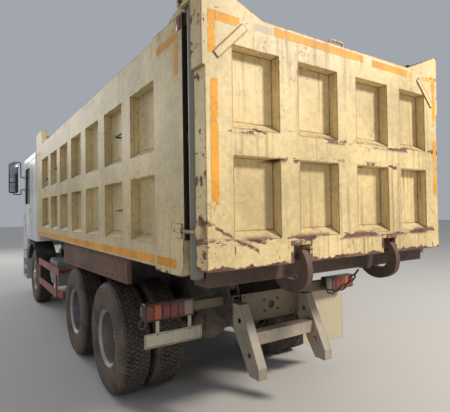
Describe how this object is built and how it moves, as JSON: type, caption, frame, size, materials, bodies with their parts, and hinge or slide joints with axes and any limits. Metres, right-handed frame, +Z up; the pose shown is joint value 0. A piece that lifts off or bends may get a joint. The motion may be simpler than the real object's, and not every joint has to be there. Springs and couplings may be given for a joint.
{
  "type": "dump truck",
  "caption": "Three-axle cab-over dump truck with a ribbed steel bed that tips to the rear, a top-hinged tailgate, twin rear wheels and a tilting cab.",
  "frame": {"origin": "on the ground, under the middle of the whole truck", "axes": "+X forward along the truck, +Y to its left, +Z up"},
  "size_m": [8.625, 3.12, 3.3],
  "materials": {
    "bed_paint": "cream paint, chalked, scraped and rusting at the edges",
    "rusty_sheet": "bare rusted sheet",
    "frame_black": "black frame paint under road dust",
    "pale_steel": "pale worn paint",
    "lamp_plastic": "red and amber lamp lenses in a dark guard",
    "plate_cream": "blank cream plate with a dark border",
    "engine_iron": "oily dark iron",
    "axle_iron": "dusty and rusted dark iron",
    "tank_grey": "grey paint, dusty",
    "silencer_steel": "heat-browned steel",
    "guard_red": "faded red paint",
    "bumper_grey": "light grey paint, dusty",
    "lamp_glass": "clear lamp cover",
    "black_plastic": "black moulded plastic",
    "seat_cloth": "dark seat cloth",
    "cab_white": "white cab paint, dusty low down",
    "window_glass": "dark tinted glass",
    "hoist_black": "black cylinder paint",
    "hoist_chrome": "hard-chromed tube",
    "tyre_rubber": "dusty grey-brown rubber",
    "rim_silver": "silver wheel paint, dusty"
  },
  "bodies": {
    "chassis": {"battery_box": "tank_grey", "chassis_frame": "frame_black", "drive_axles": "axle_iron", "front_axle": "axle_iron", "front_bumper": "bumper_grey", "front_mudguards": "black_plastic", "fuel_tank": "tank_grey", "headlamps": "lamp_glass", "number_plate": "plate_cream", "powertrain": "engine_iron", "rear_beam": "bed_paint", "rear_springs": "axle_iron", "side_guards": "guard_red", "silencer": "silencer_steel", "tail_lamps": "lamp_plastic", "underrun_guard": "pale_steel"},
    "bed": {"bed_floor": "bed_paint", "bed_side_left": "bed_paint", "bed_side_right": "bed_paint", "bed_skirts": "rusty_sheet", "headboard": "bed_paint"},
    "tailgate": {"tailgate": "bed_paint"},
    "hoist_barrel": {"hoist_barrel": "hoist_black"},
    "hoist_stage_1": {"hoist_stage_1": "hoist_chrome"},
    "hoist_stage_2": {"hoist_stage_2": "hoist_chrome"},
    "hoist_rod": {"hoist_rod": "hoist_chrome"},
    "cab": {"cab_shell": "cab_white", "cab_front": "cab_white", "windscreen": "window_glass", "dashboard": "black_plastic", "seats": "seat_cloth", "mirrors": "black_plastic"},
    "door_left": {"door_left": "cab_white", "door_glass_left": "window_glass"},
    "door_right": {"door_right": "cab_white", "door_glass_right": "window_glass"},
    "knuckle_left": {"knuckle_left": "axle_iron"},
    "knuckle_right": {"knuckle_right": "axle_iron"},
    "tie_rod": {"tie_rod": "axle_iron"},
    "front_wheel_left": {"front_tyre_left": "tyre_rubber", "front_rim_left": "rim_silver"},
    "front_wheel_right": {"front_tyre_right": "tyre_rubber", "front_rim_right": "rim_silver"},
    "drive_wheels_left": {"drive_tyres_left": "tyre_rubber", "drive_rims_left": "rim_silver"},
    "drive_wheels_right": {"drive_tyres_right": "tyre_rubber", "drive_rims_right": "rim_silver"},
    "tail_wheels_left": {"tail_tyres_left": "tyre_rubber", "tail_rims_left": "rim_silver"},
    "tail_wheels_right": {"tail_tyres_right": "tyre_rubber", "tail_rims_right": "rim_silver"}
  },
  "joints": [
    {"name": "bed_tip", "type": "hinge", "parent": "chassis", "child": "bed", "pos_m": [-3.1875, 0, 1.14], "axis": [0, -1, 0], "range_deg": [0, 50]},
    {"name": "tailgate_swing", "type": "hinge", "parent": "bed", "child": "tailgate", "pos_m": [-3.9875, 0, 3.15], "axis": [0, 1, 0], "range_deg": [0, 65]},
    {"name": "hoist_lean", "type": "hinge", "parent": "chassis", "child": "hoist_barrel", "pos_m": [1.9135, 0, 0.88], "axis": [0, -1, 0], "range_deg": [0, 30.52]},
    {"name": "hoist_extend_1", "type": "slide", "parent": "hoist_barrel", "child": "hoist_stage_1", "axis": [0, 0, 1], "range_m": [0, 1.38723]},
    {"name": "hoist_extend_2", "type": "slide", "parent": "hoist_stage_1", "child": "hoist_stage_2", "axis": [0, 0, 1], "range_m": [0, 1.38723]},
    {"name": "hoist_extend_3", "type": "slide", "parent": "hoist_stage_2", "child": "hoist_rod", "axis": [0, 0, 1], "range_m": [0, 1.38723]},
    {"name": "cab_tilt", "type": "hinge", "parent": "chassis", "child": "cab", "pos_m": [4.1375, 0, 0.92], "axis": [0, 1, 0], "range_deg": [0, 50]},
    {"name": "door_left_swing", "type": "hinge", "parent": "cab", "child": "door_left", "pos_m": [3.9335, 1.24, 2], "axis": [0, 0, -1], "range_deg": [0, 65]},
    {"name": "door_right_swing", "type": "hinge", "parent": "cab", "child": "door_right", "pos_m": [3.9335, -1.24, 2], "axis": [0, 0, 1], "range_deg": [0, 65]},
    {"name": "steer_left", "type": "hinge", "parent": "chassis", "child": "knuckle_left", "pos_m": [2.8125, 0.86, 0.55], "axis": [0, 0, 1], "range_deg": [-35, 35]},
    {"name": "steer_right", "type": "hinge", "parent": "chassis", "child": "knuckle_right", "pos_m": [2.8125, -0.86, 0.55], "axis": [0, 0, 1], "range_deg": [-35, 35]},
    {"name": "tie_rod_slide", "type": "slide", "parent": "chassis", "child": "tie_rod", "axis": [0, 1, 0], "range_m": [-0.12218, 0.12218]},
    {"name": "front_wheel_left_spin", "type": "hinge", "parent": "knuckle_left", "child": "front_wheel_left", "pos_m": [2.8125, 1.05, 0.55], "axis": [0, 1, 0], "continuous": true},
    {"name": "front_wheel_right_spin", "type": "hinge", "parent": "knuckle_right", "child": "front_wheel_right", "pos_m": [2.8125, -1.05, 0.55], "axis": [0, 1, 0], "continuous": true},
    {"name": "drive_wheels_left_spin", "type": "hinge", "parent": "chassis", "child": "drive_wheels_left", "pos_m": [-0.8375, 1.088, 0.55], "axis": [0, 1, 0], "continuous": true},
    {"name": "drive_wheels_right_spin", "type": "hinge", "parent": "chassis", "child": "drive_wheels_right", "pos_m": [-0.8375, -1.088, 0.55], "axis": [0, 1, 0], "continuous": true},
    {"name": "tail_wheels_left_spin", "type": "hinge", "parent": "chassis", "child": "tail_wheels_left", "pos_m": [-2.1875, 1.088, 0.55], "axis": [0, 1, 0], "continuous": true},
    {"name": "tail_wheels_right_spin", "type": "hinge", "parent": "chassis", "child": "tail_wheels_right", "pos_m": [-2.1875, -1.088, 0.55], "axis": [0, 1, 0], "continuous": true}
  ],
  "couplings": [
    {"joint": "hoist_lean", "follows": "bed_tip", "ratio": 0.61042},
    {"joint": "hoist_extend_1", "follows": "bed_tip", "m_per_rad": 1.5896},
    {"joint": "hoist_extend_2", "follows": "bed_tip", "m_per_rad": 1.5896},
    {"joint": "hoist_extend_3", "follows": "bed_tip", "m_per_rad": 1.5896},
    {"joint": "steer_right", "follows": "steer_left", "ratio": 1},
    {"joint": "tie_rod_slide", "follows": "steer_left", "m_per_rad": -0.2}
  ]
}
